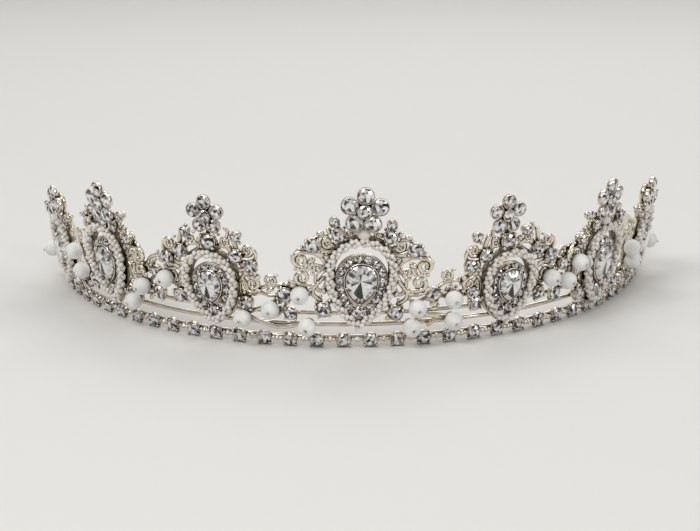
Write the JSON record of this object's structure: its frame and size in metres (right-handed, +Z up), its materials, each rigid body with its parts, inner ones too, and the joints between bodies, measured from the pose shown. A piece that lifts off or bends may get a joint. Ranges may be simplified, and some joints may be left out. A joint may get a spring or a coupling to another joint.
{
  "type": "bridal tiara",
  "caption": "Arched wire-band tiara with pear-shaped pearl and crystal medallions topped by crystal flowers, scroll bridges with opal beads, and a crystal foot row.",
  "frame": {"origin": "middle of the tiara's footprint box, on the surface it stands on", "axes": "+X to the right as seen from the front, across the head; -Y is the front; +Z up"},
  "size_m": [0.1752, 0.1102, 0.0429],
  "materials": {
    "silver_plate": "polished silver plate",
    "band_wire": "drawn silver-plated wire",
    "fine_wire": "drawn fine wire",
    "crystal": "cut and foil-backed",
    "pearl": "pearlescent",
    "opal": "frosted opal glass"
  },
  "bodies": {
    "root": {"lower_band_wire": "band_wire", "middle_band_wire": "band_wire", "upper_band_wire": "band_wire", "left_end_plate": "silver_plate", "right_end_plate": "silver_plate", "base_claw_cups": "silver_plate", "base_crystals": "crystal", "bridge_scrolls": "silver_plate", "bridge_crystals": "crystal", "opal_beads": "opal", "sewing_wire": "fine_wire", "centre_filigree": "silver_plate", "centre_flower_setting": "silver_plate", "centre_pearl_ring": "pearl", "centre_halo_setting": "silver_plate", "centre_halo_crystals": "crystal", "centre_pear_crystal": "crystal", "centre_accent_crystals": "crystal", "left_inner_filigree": "silver_plate", "left_inner_flower_setting": "silver_plate", "left_inner_pearl_ring": "pearl", "left_inner_halo_setting": "silver_plate", "left_inner_halo_crystals": "crystal", "left_inner_pear_crystal": "crystal", "left_inner_accent_crystals": "crystal", "right_inner_filigree": "silver_plate", "right_inner_flower_setting": "silver_plate", "right_inner_pearl_ring": "pearl", "right_inner_halo_setting": "silver_plate", "right_inner_halo_crystals": "crystal", "right_inner_pear_crystal": "crystal", "right_inner_accent_crystals": "crystal", "left_middle_filigree": "silver_plate", "left_middle_flower_setting": "silver_plate", "left_middle_pearl_ring": "pearl", "left_middle_halo_setting": "silver_plate", "left_middle_halo_crystals": "crystal", "left_middle_pear_crystal": "crystal", "left_middle_accent_crystals": "crystal", "right_middle_filigree": "silver_plate", "right_middle_flower_setting": "silver_plate", "right_middle_pearl_ring": "pearl", "right_middle_halo_setting": "silver_plate", "right_middle_halo_crystals": "crystal", "right_middle_pear_crystal": "crystal", "right_middle_accent_crystals": "crystal", "left_outer_filigree": "silver_plate", "left_outer_flower_setting": "silver_plate", "left_outer_pearl_ring": "pearl", "left_outer_halo_setting": "silver_plate", "left_outer_halo_crystals": "crystal", "left_outer_pear_crystal": "crystal", "left_outer_accent_crystals": "crystal", "right_outer_filigree": "silver_plate", "right_outer_flower_setting": "silver_plate", "right_outer_pearl_ring": "pearl", "right_outer_halo_setting": "silver_plate", "right_outer_halo_crystals": "crystal", "right_outer_pear_crystal": "crystal", "right_outer_accent_crystals": "crystal"}
  },
  "joints": []
}
